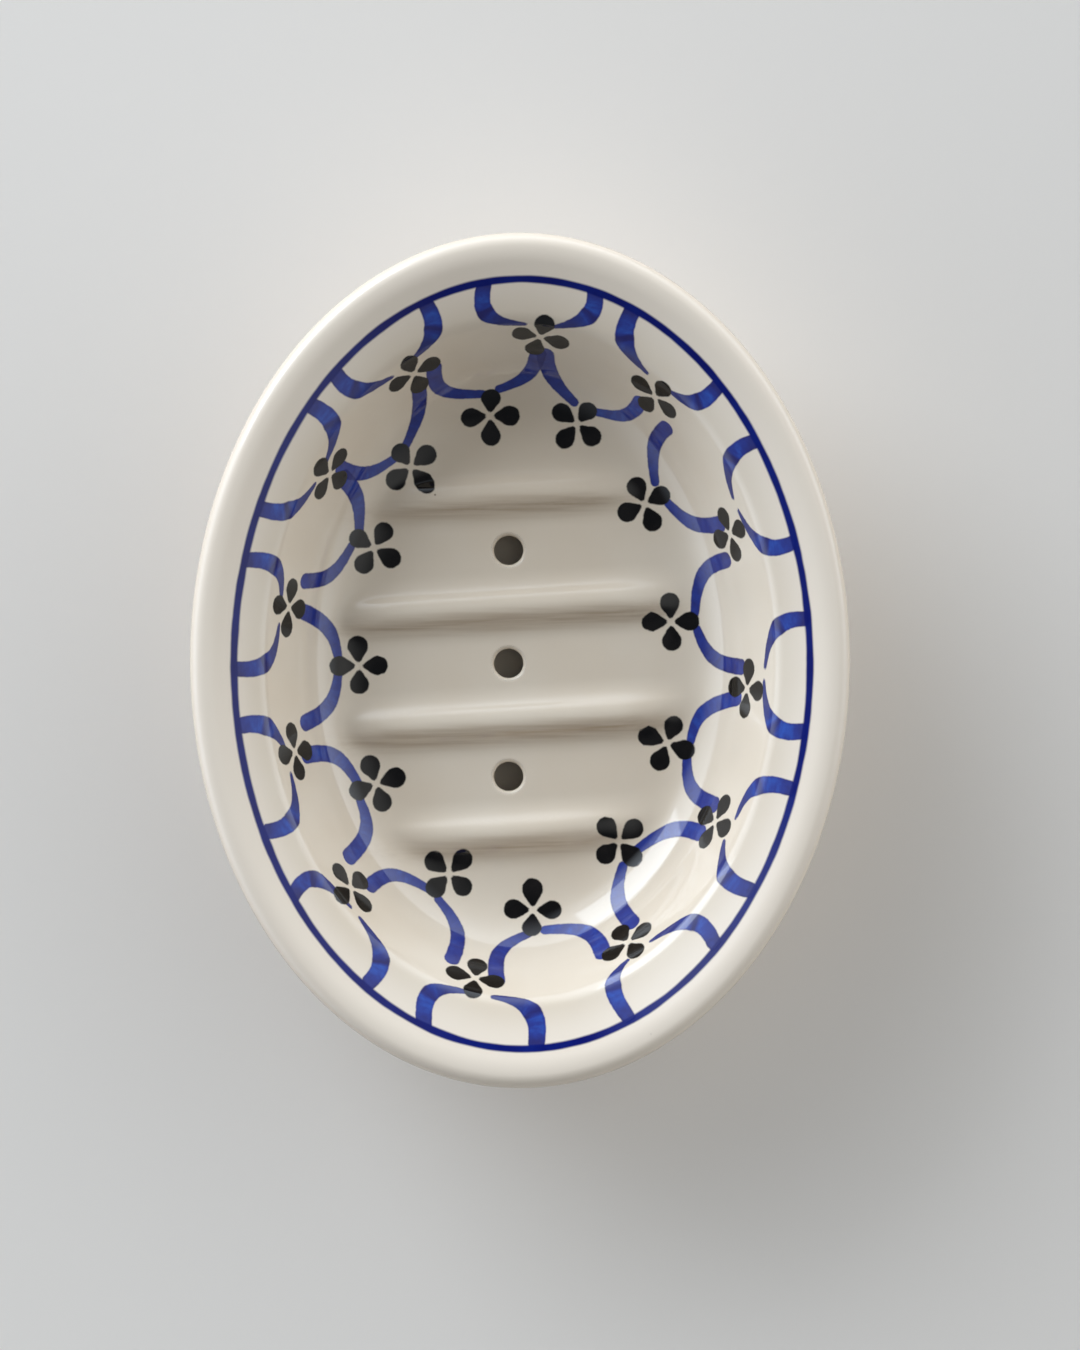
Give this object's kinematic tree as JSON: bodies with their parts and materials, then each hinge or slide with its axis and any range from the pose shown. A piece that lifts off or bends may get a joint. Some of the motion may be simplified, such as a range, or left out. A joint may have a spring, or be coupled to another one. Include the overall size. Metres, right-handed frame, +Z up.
{
  "type": "soap dish",
  "caption": "Oval two-piece stoneware soap dish: a ridged, pierced draining dish with a rolled rim that sits in a drip base and lifts out.",
  "frame": {"origin": "under the middle of the oval, on the surface that the foot ring stands on", "axes": "+Z up, +Y along the oval, +X across it"},
  "size_m": [0.108, 0.14, 0.035],
  "materials": {
    "dish_glaze": "gloss cream glaze over painted blue and black underglaze",
    "base_glaze": "gloss cream glaze with an unglazed foot ring"
  },
  "bodies": {
    "base": {"drip_base": "base_glaze"},
    "dish": {"draining_dish": "dish_glaze"}
  },
  "joints": [
    {"name": "dish_lift", "type": "slide", "parent": "base", "child": "dish", "axis": [0, 0, 1], "range_m": [0, 0.05]}
  ]
}
